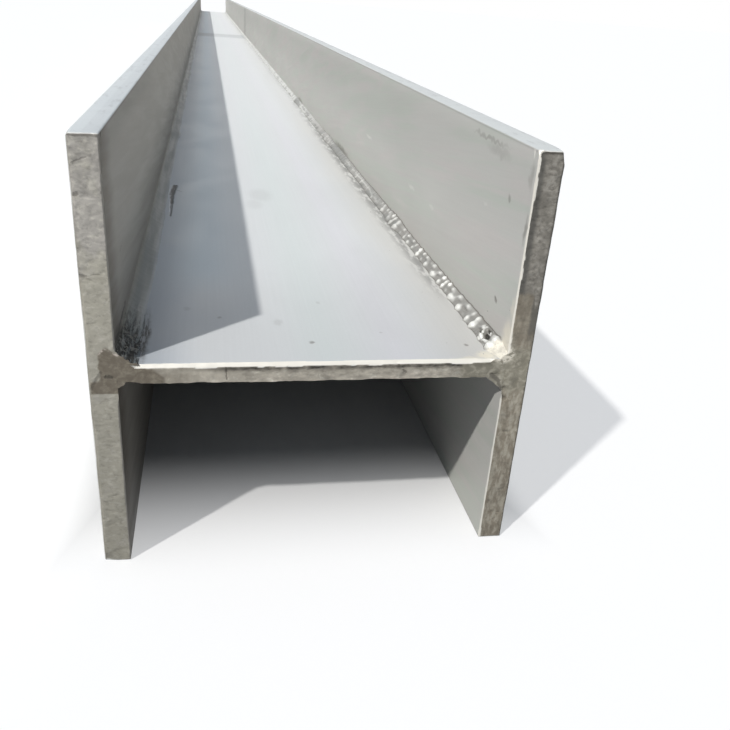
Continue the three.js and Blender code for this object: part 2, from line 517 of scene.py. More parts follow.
def flangeChamfers(side):
    inner, outer, top = side * beam["inner"] / mm, side * beam["outer"] / mm, beam["top"] / mm
    made = [
        chamfer(0, 0.6, [("z", top, 1, 0.6)], 0.6, 0.35),
        chamfer(0, 0.7, [("z", 0, -1, 0.7)], 0.6, 0.2),
    ]
    if side > 0:
        made += [
            chamfer(0, 1.15, [("x", inner, -1, 0.55)], 0.22, 1, ("z", -10, 107)),
            chamfer(0, 0.95, [("x", inner, -1, 0.5)], 0.4, 0.55, ("z", 84, 210)),
            chamfer(0, 0.6, [("x", outer, 1, 0.5)], 0.6),
            chamfer(0, 12, [("x", outer, 1, 2.4), ("z", top, 1, 6.5)], 0.25),
            chamfer(0, 3.4, [("x", inner, -1, 2.4), ("z", top, 1, 2.8)], 0.2, 1),
        ]
    else:
        made += [
            chamfer(0, 0.5, [("x", inner, 1, 0.4)], 0.4, 0.3, ("z", 86, 110)),
            chamfer(0, 0.9, [("x", outer, -1, 1.1)], 0.3),
            chamfer(0, 9, [("x", outer, -1, 1.5), ("z", top, 1, 1.5)], 0.3),
        ]
    for axis, face, faces in (("x", inner, -side), ("x", outer, side), ("z", top, 1), ("z", 0, -1)):
        spare = ("z", 86, 114) if axis == "x" else None
        made.append(chamfer(1, 0.9, [(axis, face, faces, 0.8)], 0.5, 0.7, spare))
    return made


def webChamfers():
    top, under, welds = beam["webTop"] / mm, beam["webUnder"] / mm, ("x", 81, 95)
    return [
        chamfer(0, 1.4, [("z", top, 1, 1.7)], 0.18, 1, welds),
        chamfer(0, 0.3, [("z", under, -1, 0.3)], 0.9, 0, welds),
        chamfer(1, 1.1, [("z", top, 1, 1.2)], 0.4, 0.8, welds),
        chamfer(1, 0.6, [("z", under, -1, 0.6)], 0.6, 0.3, welds),
    ]


def makePlate(name, material, place, width, thickness, length, chamfers):
    mesh = plateMesh(name, width / mm, thickness / mm, length / mm, place)
    points = pointsOf(mesh)
    for key, values in zip(("cutFace", "groundEdge", "cutDepth"), roughenEnds(points, chamfers)):
        setAttribute(mesh, key, values)
    if name == "webPlateFront":
        hangBurr(points)
    setPoints(mesh, points)
    cleaned(mesh, plateGrid["sharp"])
    newPiece(name, mesh, material)


weldRun = {  # millimetres and degrees; what all four beads share
    "stations": 3600,
    "crowding": 0.7,  # how much closer the stations lie at the ends
    "faceSteps": 14,
    "firstTack": 235,
    "tackPitch": 350,
    "lumpPitch": 12.5,
    "ripplePitch": 2.1,
    "craterDepth": 4,
    "sunk": 0.15,
    "behind": 0.03,  # the cut face lies this much behind the plates' own, so that the sunk sides never show
    "sharp": 62,
}
plainBead = {
    "Blobs": 0.5, "Lump Height": 0.7, "Ripple Height": 0.1, "Grain": 0.2, "Front Rough": 0.2,
    "Front Swell": 0.0, "Crater At": -50.0, "Ground": -20.0, "Taper": 0.0, "Drops": 24,
}
weldBeads = {
    "filletWeldUpperLeft": {
        # this bead lies in the left flange's shadow, so it takes the look darkened as painted shade
        **plainBead, "finishAndShade": "dull", "Side": -1.0, "Up": 1.0,
        "On Web": 8.6, "On Flange": 6.0, "Swell": -0.9, "Tacks": 0.1, "Front Size": 1.0,
        "Lump Height": 0.08, "Blobs": 0.1, "Ripple Height": 0.012, "Grain": 0.04,
        "Front Rough": 0.95, "Drops": 0, "Seed": 3.0,
    },
    "filletWeldUpperRight": {
        **plainBead, "finishAndShade": "bright", "Side": 1.0, "Up": 1.0,
        "On Web": 5.6, "On Flange": 4.7, "Swell": 0.3, "Tacks": 0.25, "Front Size": 1.0,
        "Lump Height": 1.25, "Blobs": 0.4, "Ripple Height": 0.05, "Grain": 0.14, "Front Rough": 0.0,
        "Front Swell": 0.16, "Crater At": 21.0, "Ground": 10.0, "Taper": 0.5, "Drops": 16, "Seed": 8.0,
    },
    "filletWeldLowerLeft": {
        **plainBead, "finishAndShade": "bright", "Side": -1.0, "Up": -1.0,
        "On Web": 4.4, "On Flange": 4.2, "Swell": 0.4, "Tacks": 0.4, "Front Size": 0.5, "Seed": 21.0,
    },
    "filletWeldLowerRight": {
        **plainBead, "finishAndShade": "bright", "Side": 1.0, "Up": -1.0,
        "On Web": 6.8, "On Flange": 5.8, "Swell": -0.3, "Tacks": 0.4, "Front Size": 1.1, "Seed": 34.0,
    },
}


def treeInputs(tree, names):
    # named float inputs of a Geometry Nodes tree, as fields, and a Geometry output
    tree.interface.new_socket("Geometry", in_out="INPUT", socket_type="NodeSocketGeometry")
    for name in names:
        tree.interface.new_socket(name, in_out="INPUT", socket_type="NodeSocketFloat")
    tree.interface.new_socket("Material", in_out="INPUT", socket_type="NodeSocketMaterial")
    tree.interface.new_socket("Geometry", in_out="OUTPUT", socket_type="NodeSocketGeometry")
    group = tree.nodes.new("NodeGroupInput")
    return {socket.name: Field(socket) for socket in group.outputs if socket.name}


def stored(geometry, name, value):
    inputs = {"Geometry": geometry, "Name": name, "Value": value}
    kind = {"data_type": "FLOAT", "domain": "POINT"}
    return addNode(geometry.tree, "GeometryNodeStoreNamedAttribute", inputs, **kind)


def named(tree, name):
    return addNode(tree, "GeometryNodeInputNamedAttribute", {"Name": name}, data_type="FLOAT")


def moved(geometry, x, y, z):
    inputs = {"Geometry": geometry, "Position": vector(x, y, z)}
    return addNode(geometry.tree, "GeometryNodeSetPosition", inputs)


def wave(along, pitch, seed):
    # slow noise along the bead, round 0
    return clouds(along / pitch, seed, 0.37, 1).swing(2)


def pulse(phase, sharpness):
    # one lump in each turn of the phase
    return ((phase * wholeTurn).calc("COSINE") * 0.5 + 0.5).calc("POWER", sharpness)


def beadTree():
    tree = bpy.data.node_groups.new("weldBead", "GeometryNodeTree")
    names = ["Length", "Front", "Inner", "Web Face", "Side", "Up", "On Web", "On Flange", "Swell", "Tacks",
             "Lump Height", "Ripple Height", "Grain", "Blobs", "Front Rough", "Front Swell", "Front Size",
             "Crater At", "Ground", "Taper", "Drops", "Seed"]
    size = treeInputs(tree, names)
    run = weldRun
    seed = size["Seed"]

    # a straight row of stations, and a ring of places round the bead
    line = addNode(tree, "GeometryNodeMeshLine", {"Count": run["stations"]})
    index = addNode(tree, "GeometryNodeInputIndex")
    share = index / (run["stations"] - 1)
    eased = share - (share * wholeTurn).calc("SINE") * (run["crowding"] / wholeTurn)
    line = stored(line, "along", eased * size["Length"])
    rail = addNode(tree, "GeometryNodeMeshToCurve", {"Mesh": line})
    circle = addNode(tree, "GeometryNodeMeshCircle", {"Vertices": run["faceSteps"] + 2}, fill_type="NONE")
    circle = stored(circle, "across", index / run["faceSteps"])
    ring = addNode(tree, "GeometryNodeMeshToCurve", {"Mesh": circle})
    tube = addNode(tree, "GeometryNodeCurveToMesh", {"Curve": rail, "Profile Curve": ring, "Fill Caps": True})
    along, across = named(tree, "along"), named(tree, "across")

    # how big the bead is here: swollen at its tacks, and slowly wandering
    turn = (along - run["firstTack"]) / run["tackPitch"] + 0.5
    toTack = abs(turn.calc("FRACT").swing(run["tackPitch"]))
    toTack = toTack.atMost(along).atMost(size["Length"] - along)
    crest = toTack.ramp(7, 30, 1, 0)
    edge = along + clouds(across * 4, along / 4, seed, 3, 0.6).swing(9)
    ground = edge.ramp(size["Ground"] - 1.2, size["Ground"] + 1.2, 1, 0)
    nearEnd = along.ramp(size["Ground"] - 3, size["Ground"] + 3, 1, 0)
    grow = wave(along, 95, seed) * 0.2 + crest * size["Tacks"] + 1
    grow = grow + along.hump(40, 22) * size["Front Swell"]
    grow = grow * (nearEnd * (along / 13 - 1) * size["Taper"] + 1)
    grow = grow * (along.ramp(14, 40, 1, 0) * (size["Front Size"] - 1) + 1)

    # the weave: lumps left at each toe by turns, calmer further on
    phase = along / run["lumpPitch"] + wave(along, 31, seed + 5) * 1.3
    strong = (clouds(along / 11, seed, 4, 1) * 4.4 - 1.5).atLeast(0.08)
    strongToo = (clouds(along / 9, seed, 9, 1) * 4 - 1.3).atLeast(0.08)
    quiet = clouds(along / 45, seed, 14).ramp(0.38, 0.6, 0.3, 1.15)
    quiet = quiet.atLeast(along.ramp(140, 200, 1, 0))
    calm = along.ramp(170, 380, 1, 0.27) * quiet + crest * 0.2
    shift = wave(along, 7, seed + 31) * 0.09
    low = pulse(phase, 2.2) * strong * calm
    high = pulse(phase * 1.2 + wave(along, 17, seed + 13) * 0.6 + 0.42, 2.4) * strongToo * calm
    between = across.hump(0.46, 0.12) * (wave(along, 6, seed + 17) * 0.35 - 0.12) * calm
    lumps = low * (across + shift).hump(0.27, 0.22) + high * 0.8 * (across - shift).hump(0.72, 0.17) + between
    inputs = {"Vector": vector(along / 9.5, across * 1.5 + 0.3, seed), "Scale": 1, "Randomness": 0.9}
    blobs = (addNode(tree, "ShaderNodeTexVoronoi", inputs, "Distance") * -1.5 + 0.9).atLeast(0)
    blobs = blobs * blobs * quiet * size["Blobs"] * (strong * 0.6 + 0.35)
    bow = (across - 0.5) * (across - 0.5) * 14
    ripple = ((along - bow) / run["ripplePitch"] + wave(along, 11, seed + 2)) * wholeTurn
    ripple = ripple.calc("SINE") * size["Ripple Height"]
    grain = clouds(along / 1.9, across * 4.2 + seed * 3.1, seed, 3, 0.6).swing(size["Grain"])
    strands = clouds(along / 8, across * 5.5, seed + 40, 3, 0.65).swing(4.2)
    strands = strands * size["Front Rough"] * along.ramp(22, 60, 1, 0)

    # the crater where the arc was broken, in torn and knotted metal
    fromCrater = along - size["Crater At"]
    inputs = {"Vector": vector(along / 5.2 + across * 0.6, across * 3.4, seed), "Scale": 1, "Randomness": 1}
    knots = addNode(tree, "ShaderNodeTexVoronoi", inputs, "Distance", feature="DISTANCE_TO_EDGE")
    knots = knots.ramp(0.02, 0.3) * 1.8 - 0.9
    knots = knots * fromCrater.hump(1, 9) * size["Lump Height"] * 0.7
    hole = (fromCrater - (across - 0.5) * 9).hump(0, 3.1) * across.hump(0.6, 0.27)
    smallHole = (fromCrater - 9 + across * 5).hump(0, 1.9) * across.hump(0.4, 0.2) * 0.6
    hole = hole.atLeast(smallHole) * run["craterDepth"]
    rim = fromCrater.hump(0, 9) * across.hump(0.5, 0.4)
    shape = lumps * size["Lump Height"] + blobs + knots + rim * size["Lump Height"] - hole
    rough = shape + ripple + grain + strands
    polished = clouds(along / 3.4, across * 2.2, seed, 3, 0.6).swing(1.6) - 0.1
    hill = (across * (1 - across) * 4).atLeast(0)
    texture = rough * (1 - ground) + polished * ground
    face = hill * size["Swell"] * grow + hill.calc("POWER", 0.6) * texture

    # toes and root: the hidden sides are sunk a little into the plates
    toeWander = wave(along, 6, seed + 7) * 0.25 + wave(along, 19, seed + 11) * 0.45
    toeWander = toeWander * (nearEnd * 1.2 + 1)
    onWeb = size["On Web"] * grow + low * 0.8 * size["Lump Height"] * (1 - nearEnd) + toeWander
    onFlange = size["On Flange"] * grow + high * 0.5 * size["Lump Height"] * (1 - nearEnd) + toeWander * 0.6
    slant = (onWeb * onWeb + onFlange * onFlange).calc("SQRT")
    fromFlange = onWeb * (1 - across) + face * onFlange / slant
    fromWeb = onFlange * across + face * onWeb / slant
    isRoot = across.above(1.01)
    atWebToe = across.calc("LESS_THAN", 0.01)
    atFlangeToe = across.above(0.99)
    fromFlange = fromFlange * (1 - atFlangeToe) - atFlangeToe * run["sunk"]
    fromWeb = fromWeb * (1 - atWebToe) * (1 - isRoot) - (atWebToe + isRoot) * run["sunk"]
    x = size["Side"] * (size["Inner"] - fromFlange * mm)
    z = size["Web Face"] + size["Up"] * fromWeb * mm
    metal = moved(tube, x, size["Front"] + along * mm, z)
    metal = stored(metal, "height", (shape + strands * 0.4) * (1 - ground))
    metal = stored(metal, "groundEdge", ground)
    joined = addNode(tree, "GeometryNodeJoinGeometry")
    for part in (beadSpatter(tree, size, seed), metal):
        feed(part, joined.socket.node.inputs[0])
    real = addNode(tree, "GeometryNodeRealizeInstances", {"Geometry": joined})
    welded = addNode(tree, "GeometryNodeSetMaterial", {"Geometry": real, "Material": size["Material"]})
    feed(welded, tree.nodes.new("NodeGroupOutput").inputs[0])
    return tree


spatterDrops = {  # millimetres, and shares
    "small": 0.25, "large": 0.6, "flat": 0.6,
    "aside": 9, "far": 22, "start": 6, "reach": 1500,
    "onWeb": 0.45,
}


def beadSpatter(tree, size, seed):
    # drops of weld metal on the web and the flange beside the bead, thickest near the front
    drops = spatterDrops

    def draw(number):
        # a random value from 0 to 1 for each drop
        node = tree.nodes.new("FunctionNodeRandomValue")
        node.data_type = "FLOAT"
        feed(seed + number, node.inputs["Seed"])
        return Field(next(out for out in node.outputs if out.enabled))

    points = addNode(tree, "GeometryNodePoints", {"Count": size["Drops"]})
    chance = draw(1)
    along = chance * chance * drops["reach"] + drops["start"]
    chance = draw(2)
    offset = chance * chance * drops["far"] + drops["aside"]
    onWeb = draw(3).above(drops["onWeb"])
    x = size["Side"] * (size["Inner"] - offset * onWeb * mm)
    z = size["Web Face"] + size["Up"] * offset * (1 - onWeb) * mm
    placed = moved(points, x, size["Front"] + along * mm, z)
    ball = addNode(tree, "GeometryNodeMeshUVSphere", {"Segments": 8, "Rings": 5, "Radius": mm})
    ball = stored(stored(ball, "across", 0.5), "height", 0.2)
    chance = draw(4)
    width = chance * chance * (drops["large"] - drops["small"]) + drops["small"]
    tall = width * drops["flat"]
    scale = vector(width * onWeb + tall * (1 - onWeb), width, tall * onWeb + width * (1 - onWeb))
    inputs = {"Points": placed, "Instance": ball, "Scale": scale}
    return addNode(tree, "GeometryNodeInstanceOnPoints", inputs)


def makeBead(name, bead, tree, material):
    host = inScene(name + "Nodes", bpy.data.meshes.new(name + "Nodes"))
    modifier = host.modifiers.new("weldBead", "NODES")
    modifier.node_group = tree
    values = {
        **bead,
        "Length": (beam["rear"] - beam["front"]) / mm,
        "Front": beam["front"],
        "Inner": beam["inner"],
        "Web Face": beam["webTop"] if bead["Up"] > 0 else beam["webUnder"],
        "Material": material,
    }
    for socket in tree.interface.items_tree:
        if socket.in_out == "INPUT" and socket.name != "Geometry":
            modifier[socket.identifier] = values[socket.name]
    evaluated = host.evaluated_get(bpy.context.evaluated_depsgraph_get())
    mesh = bpy.data.meshes.new_from_object(evaluated)
    mesh.name = name
    host.modifiers.remove(modifier)
    bpy.data.objects.remove(host)
    points = pointsOf(mesh)
    behind = weldRun["behind"] * mm
    points[:, 1] = np.clip(points[:, 1], beam["front"] + behind, beam["rear"] - behind)
    fromEnd = np.minimum(points[:, 1] - beam["front"], beam["rear"] - points[:, 1])
    setAttribute(mesh, "cutFace", fromEnd < behind * 1.5)
    setAttribute(mesh, "cutDepth", roughenEnds(points)[2])
    setPoints(mesh, points)
    cleaned(mesh, weldRun["sharp"])
    return newPiece(name, mesh, material)


spliceWeld = {  # weld metal dressed flush, in mm and degrees
    "shares": [-1, -0.93, -0.8, -0.6, -0.3, 0, 0.3, 0.6, 0.8, 0.93, 1],  # of half its width
    "step": 2, "sink": 0.10, "undercut": 0.10, "toeAt": 0.93, "toeWidth": 0.05, "sharp": 38,
}


def spliceMesh(name, width, thickness, place):
    # the groove's filling, from one sloped side to the other, a little hollow where it was dressed
    sides = sectionSides(width, thickness, spliceWeld["step"])
    ring = ringPoints(sides)
    points, rings = [], []

    def sunk(share, across, through):
        rough = noise.noise(Vector((across / 5, share * 1.7, through))) * 0.5 + 0.5
        toe = math.exp(-((abs(share) - spliceWeld["toeAt"]) / spliceWeld["toeWidth"]) ** 2)
        depth = spliceWeld["sink"] * rough * (1 - share * share) ** 0.3 + spliceWeld["undercut"] * toe
        if through > thickness - 0.01:
            return through - depth
        return through + depth if through < 0.01 else through

    for share in spliceWeld["shares"]:
        start = len(points)
        for across, through in ring:
            points.append((share * grooveAt(through), across, sunk(share, across, through)))
        rings.append(list(range(start, len(points))))
    faces = skin(rings)
    for share, border in ((-1, rings[0]), (1, rings[-1])):
        faces += addCap(points, border, sides, lambda through, share=share: share * grooveAt(through))
    mesh = bpy.data.meshes.new(name)
    mesh.from_pydata([place(*point) for point in points], [], faces)
    cleaned(mesh, spliceWeld["sharp"])
    return mesh


def rgb(red, green, blue):
    # a picker's 0 to 255 colour, in the linear values that sockets take
    def linear(level):
        level /= 255
        return level / 12.92 if level <= 0.04045 else ((level + 0.055) / 1.055) ** 2.4
    return (linear(red), linear(green), linear(blue), 1)


def blend(amount, under, over):
    inputs = {0: amount, 6: under, 7: over}  # a Mix node's sockets for colours
    return addNode(amount.tree, "ShaderNodeMix", inputs, 2, data_type="RGBA")


def coated(colour, *coats):
    # coats of (amount, colour), one over another
    for amount, over in coats:
        colour = blend(amount, colour, over)
    return colour


def mixed(amount, under, over):
    # what blend does, for plain values
    return under * (1 - amount) + over * amount


def tinted(colour, level):
    # a colour made lighter or darker by a factor
    return vectorMath("SCALE", colour if isinstance(colour, Field) else colour[:3], level)


def painted(tree, name):
    return addNode(tree, "ShaderNodeAttribute", out="Fac", attribute_name=name)


def newMetal(name, metallic, shine=0.5):
    # a Principled material, and Object coordinates in mm: across, along from the front end, and up
    material = bpy.data.materials.new(name)
    material.use_nodes = True
    tree = material.node_tree
    shader = tree.nodes["Principled BSDF"]
    shader.inputs["Metallic"].default_value = metallic
    shader.inputs["Specular IOR Level"].default_value = shine
    x, y, z = split(addNode(tree, "ShaderNodeTexCoord", out="Object"))
    return material, shader, x / mm, (y - beam["front"]) / mm, z / mm


def finishMetal(shader, colour, roughness, height):
    # height is in mm
    feed(colour, shader.inputs["Base Color"])
    feed(roughness, shader.inputs["Roughness"])
    bump = addNode(height.tree, "ShaderNodeBump", {"Height": height, "Distance": mm, "Strength": 1})
    feed(bump, shader.inputs["Normal"])


def spot(place, centre, size):
    # 1 inside an oval spot, fading out towards its rim
    scaled = vectorMath("MULTIPLY", vectorMath("SUBTRACT", place, centre), [1 / part for part in size])
    return vectorMath("LENGTH", scaled, out="Value").ramp(0.3, 1, 1, 0)


def spots(place, marks):
    return strongest(spot(place, centre, size) * strength for centre, size, strength in marks)


spotDepth = 3  # how far a spot on a face reaches through it, in mm


def webSpots(*marks):
    # spots on the web's upper face: across, along, half sizes, strength
    height = beam["webTop"] / mm
    return [((x, y, height), (wide, long, spotDepth), strength) for x, y, wide, long, strength in marks]


def flangeSpots(side, *marks):
    # spots on a flange's inner face: along, up, half sizes, strength
    inner = side * beam["inner"] / mm
    return [((inner, y, z), (spotDepth, long, high), strength) for y, z, long, high, strength in marks]


def ragged(x, y, z, lump, by):
    # the place itself, pushed about so that what is drawn there gets a ragged rim
    inputs = {"Vector": vector(x / lump, y / lump, z / lump), "Scale": 1, "Detail": 1, "Roughness": 0.7}
    loose = addNode(x.tree, "ShaderNodeTexNoise", inputs, 1)
    push = vectorMath("SCALE", vectorMath("ADD", loose, (-0.5, -0.5, -0.5)), 2 * by)
    return vectorMath("ADD", vector(x, y, z), push)


def stroke(u, v, start, end, width):
    # 1 along a straight line from start to end, 0 half a width away
    runU, runV = end[0] - start[0], end[1] - start[1]
    fromU, fromV = u - start[0], v - start[1]
    part = ((fromU * runU + fromV * runV) / (runU ** 2 + runV ** 2)).atMost(1).atLeast(0)
    offU, offV = fromU - part * runU, fromV - part * runV
    return (offU * offU + offV * offV).calc("SQRT").ramp(width * 0.5, width * 0.15)


def strokes(u, v, lines):
    return strongest(stroke(u, v, start, end, width) * strength for start, end, width, strength in lines)


cutLook = {
    "tan": rgb(180, 176, 163),
    "lilac": rgb(176, 172, 165),
    "flake": rgb(204, 200, 188),
    "webTan": rgb(172, 166, 154),
    "dark": rgb(100, 98, 93),
    "darkCentre": rgb(134, 130, 122),
    "darkPale": rgb(157, 153, 145),
    "rightTan": rgb(141, 133, 119),
    "rightPale": rgb(172, 166, 152),
    "leftJoint": rgb(112, 104, 92),
    "leftJointPale": rgb(138, 131, 117),
    "rightJoint": rgb(144, 140, 126),
    "rightJointPale": rgb(178, 173, 158),
    "lip": rgb(206, 196, 186),
    "splash": rgb(222, 216, 202),
    "burr": rgb(74, 70, 64),
    "roughness": 0.62,
    # tones along the web's end: place, half width, how much lighter or darker
    "webTones": [
        (-66, 6, 0.1), (-50.5, 8, 0.26), (-40.5, 3, -0.06), (-30, 5, -0.04), (-22, 2.6, 0.16),
        (-11, 7, -0.03), (4, 5, -0.1), (27, 6, 0.07), (38, 6, -0.02), (73, 8, -0.48),
    ],
    # across and up: start, end, width, strength
    "cracks": [
        ((81.5, 95.9), (85.4, 92.8), 3, 0.6), ((85.4, 92.8), (88.2, 84), 2.4, 0.55),
        ((-100, 143.6), (-97, 143.9), 1.8, 0.4), ((-97, 143.9), (-92, 144.6), 0.9, 0.22),
        ((-98.6, 189), (-93.5, 190.8), 1.2, 0.3), ((-99.6, 176.5), (-97.6, 177), 2.2, 0.45),
        ((-41.8, 96.5), (-41.8, 103), 0.9, 0.6), ((-92.4, 98.7), (-90.4, 98.4), 2.2, 0.75),
        ((-94.6, 100.5), (-99.2, 92.5), 2, 0.4),
        ((34.4, 103), (36.2, 101.6), 1.6, 0.6), ((38.2, 99.6), (39.6, 98.2), 1.4, 0.5),
    ],
}


def cutPlaces(x, z):
    # where a place on a cut end lies, and the noises that its tones are mixed from
    side = abs(x)
    return types.SimpleNamespace(
        x=x, z=z, side=side, up=z - middleUp, right=x.above(0), through=side - beam["inner"] / mm,
        flakes=clouds((x - z * 0.4) / 4.4, 1, (z + x * 0.2) / 2.8, 4, 0.58, 0.5),
        flecks=clouds((x + z * 0.5) / 3, 5, (z - x * 0.3) / 2.2, 4, 0.66),
        broad=clouds(x / 10, 9, z / 14, 3, 0.55),
        wobble=clouds(x / 3.5, 2, z / 3.5, 3, 0.6).swing(5),
    )


def flangeEnd(at):
    # flaky tan steel, on the right flange browner low down and darker high up
    look = cutLook
    tan = blend((at.broad + at.up.ramp(30, 75, 0, 0.25)).ramp(0.5, 0.75), look["tan"], look["lilac"])
    tan = blend(at.flakes.ramp(0.5, 0.66) * 0.5, tan, look["flake"])
    tan = tinted(tan, at.broad.ramp(0.3, 0.7, 0.92, 1.06) * at.up.ramp(-95, 95, 0.72, 1.03))
    tan = tinted(tan, at.flecks.ramp(0.5, 0.34, 1.03, 0.84))
    pale = clouds(at.x / 2.6, 11, at.z / 7, 4, 0.6, 0.3).ramp(0.4, 0.62) * at.up.ramp(30, -14, 0.4, 1)
    low = blend(pale, look["rightTan"], look["rightPale"])
    low = tinted(low, at.broad.ramp(0.32, 0.68, 0.82, 1.08) * at.flecks.ramp(0.5, 0.34, 1.03, 0.86))
    low = tinted(low, at.up.ramp(-10, -60, 1, 0.87))
    loose = at.through + at.wobble * 0.3
    high = blend(loose.ramp(2, 4.6), look["dark"], look["darkCentre"])
    mottled = (at.flakes * 0.4 + at.flecks * 0.3 + at.broad * 0.3).ramp(0.46, 0.6) * loose.ramp(2.5, 5.5)
    high = blend(mottled * 0.85, high, look["darkPale"])
    outerDark = (at.through + at.wobble * 0.2).ramp(10.2, 11.6, 1, 0.66)
    uneven = at.broad.ramp(0.3, 0.7, 0.88, 1.15) * at.flecks.ramp(0.5, 0.36, 1.03, 0.8)
    high = tinted(high, uneven * outerDark)
    strip = loose.ramp(7.4, 9) * (at.up + at.wobble).ramp(12, 20)
    low = blend(strip * 0.85, low, look["dark"])
    border = at.up + at.wobble * 1.1 + (at.through - 8).ramp(0, 1.6, 0, 6)
    return blend(at.right, tan, blend(border.ramp(34.5, 37.5), low, high))


def webEnd(at):
    # in uneven tones along it, with a painted shadow under its upper edge and a painted highlight along its
    # lower edge
    tone = clouds(at.x / 5, 4, at.z / 2.2, 4, 0.66) - 0.5
    tone = tone * at.x.ramp(-46, -20, 0.6, 1.8) + 1
    for place, half, lighter in cutLook["webTones"]:
        tone = tone + (at.x + at.wobble * 0.6).hump(place, half) * lighter
    # painted shadow under the upper edge, and a painted highlight along the lower edge
    shadowed = clouds(at.x / 12, 7, 2).ramp(0.34, 0.46, 0.35, 1)
    shadowUnderEdge = (at.up + at.wobble * 0.16).hump(1.5, 1.2) * shadowed * at.x.ramp(-58, -44, 0.35, 1)
    tone = tone - shadowUnderEdge * 0.72 + (at.up + at.wobble * 0.1).hump(-5, 0.6) * 0.25
    return tinted(blend(at.flakes.ramp(0.55, 0.68) * 0.5, cutLook["webTan"], cutLook["flake"]), tone)


def weldedCorners(at, onFlange, colour):
    # where the corners were welded over and cut: a knob on the left flange, and a wedge into the web
    look, side, z, wobble = cutLook, at.side, at.z, at.wobble
    wavy = wobble * 0.45
    knob = (91.8 + wavy * 0.4 - side).hump(0, 3) * 3.4 + 108.6 - z
    wedge = side - (z - 98).atLeast(0) * 1.25 + wavy
    body = (95.2 - side + wavy).ramp(-0.6, 0.6) * (knob + wavy * 0.5).ramp(-0.6, 0.6) * wedge.ramp(66.6, 69.4)
    foot = (99.2 - side + wavy * 0.4).ramp(-0.4, 0.4) * (96.2 - z + wavy).ramp(-0.8, 0.8)
    foot = foot * (side - 73 + wavy).ramp(-1.6, 1.6)
    left = body.atLeast(foot) * (z - 90.4 + wavy * 0.3).ramp(-0.4, 0.4)
    left = left * (103 - z + (side - 76).ramp(0, 5, 0, 12) + wavy).ramp(-0.6, 0.6)
    runOut = (side - wobble).ramp(46, 66, 0, 0.5) * (1 - onFlange)
    runOut = runOut * (z + wobble * 0.4).ramp(102.5, 98)
    left = left.atLeast(runOut) * (1 - at.right)
    right = (at.up * -1 + 9 + wobble).ramp(-2.5, 2.5) * (at.up + 13 + wobble).ramp(-3.5, 3.5)
    right = right * (side - 66 + wobble).ramp(-1.5, 1.5) * at.right
    cloudy = clouds(at.x / 3.4, 3, z / 3, 4, 0.62, 0.4)
    leftPatch = blend(cloudy.ramp(0.42, 0.72), look["leftJoint"], look["leftJointPale"])
    rightPatch = blend(cloudy.ramp(0.42, 0.68), look["rightJoint"], look["rightJointPale"])
    rightPatch = tinted(rightPatch, (side + wobble * 0.5).ramp(84, 80, 1, 0.86))
    lip = (knob + wavy * 0.5).hump(0.3, 0.55) * (side - 83).ramp(-1, 1) * (95 - side).ramp(-1, 1)
    splashed = (at.x + wobble * 0.4).hump(86, 6) * (z + wobble * 0.4).hump(106.5, 5)
    return coated(
        colour,
        (left * 0.95, leftPatch),
        (right * 0.85, rightPatch),
        (lip * at.flecks.ramp(0.42, 0.56) * (1 - at.right), look["lip"]),
        (splashed.ramp(0.3, 0.6) * at.flecks.ramp(0.43, 0.52), look["splash"]),
    )


def cutFace(x, z):
    # the beam's cut ends: painted shade where the cut lies deeper, dark in the cracks and along the flanges'
    # outer arrises, and a painted shadow along their top edges
    look, at = cutLook, cutPlaces(x, z)
    onFlange = (at.through + 0.5).above(0)
    colour = weldedCorners(at, onFlange, blend(onFlange, webEnd(at), flangeEnd(at)))
    depth, specks = painted(x.tree, "cutDepth"), clouds(x / 0.9, 5, z / 0.9, 3, 0.6)
    # painted shade where the cut lies deeper
    colour = tinted(colour, depth.ramp(0.2, 0.6, 1.05, 0.8) * specks.ramp(0.3, 0.44, 0.88, 1))
    rough = at.flecks.swing(2.4)
    cracked = strokes(x + at.wobble * 0.2 + rough, z + at.wobble * 0.2 + at.flakes.swing(2.4), look["cracks"])
    burr = (at.side + rough).ramp(98.8, 99.6) * (at.right * 0.35 + 0.3)
    # painted shadow along the top edge, under its burr
    topShadow = (z + rough).ramp(198.2, 199) * (at.right * 0.25 + 0.55)
    colour = blend(strongest([cracked, burr, topShadow]), colour, look["burr"])
    roughness = at.flakes.ramp(0.4, 0.7, look["roughness"] + 0.06, look["roughness"] - 0.1)
    height = at.flakes * 0.1 + at.flecks * 0.08 + specks * 0.05 - cracked * 0.3
    return colour, roughness, height


plateLook = {
    "metallic": 0.15,
    "shine": 0.25,
    # pale ground steel, lighter still as a painted highlight of the glint on it
    "groundSteel": rgb(238, 234, 224),
    "groundRoughness": 0.42,
    "grime": rgb(88, 80, 70),
    "scraped": rgb(46, 45, 46),
    "soot": rgb(50, 48, 44),
}


def finishPlate(shader, x, z, colour, roughness, height):
    # rolled faces, cut ends and ground edges in one material, by the mesh's attributes
    cut, ground = painted(x.tree, "cutFace"), painted(x.tree, "groundEdge")
    cutColour, cutRoughness, cutHeight = cutFace(x, z)
    colour = coated(colour, (cut, cutColour), (ground, plateLook["groundSteel"]))
    roughness = mixed(ground, mixed(cut, roughness, cutRoughness), plateLook["groundRoughness"])
    finishMetal(shader, colour, roughness, mixed(cut, height, cutHeight))


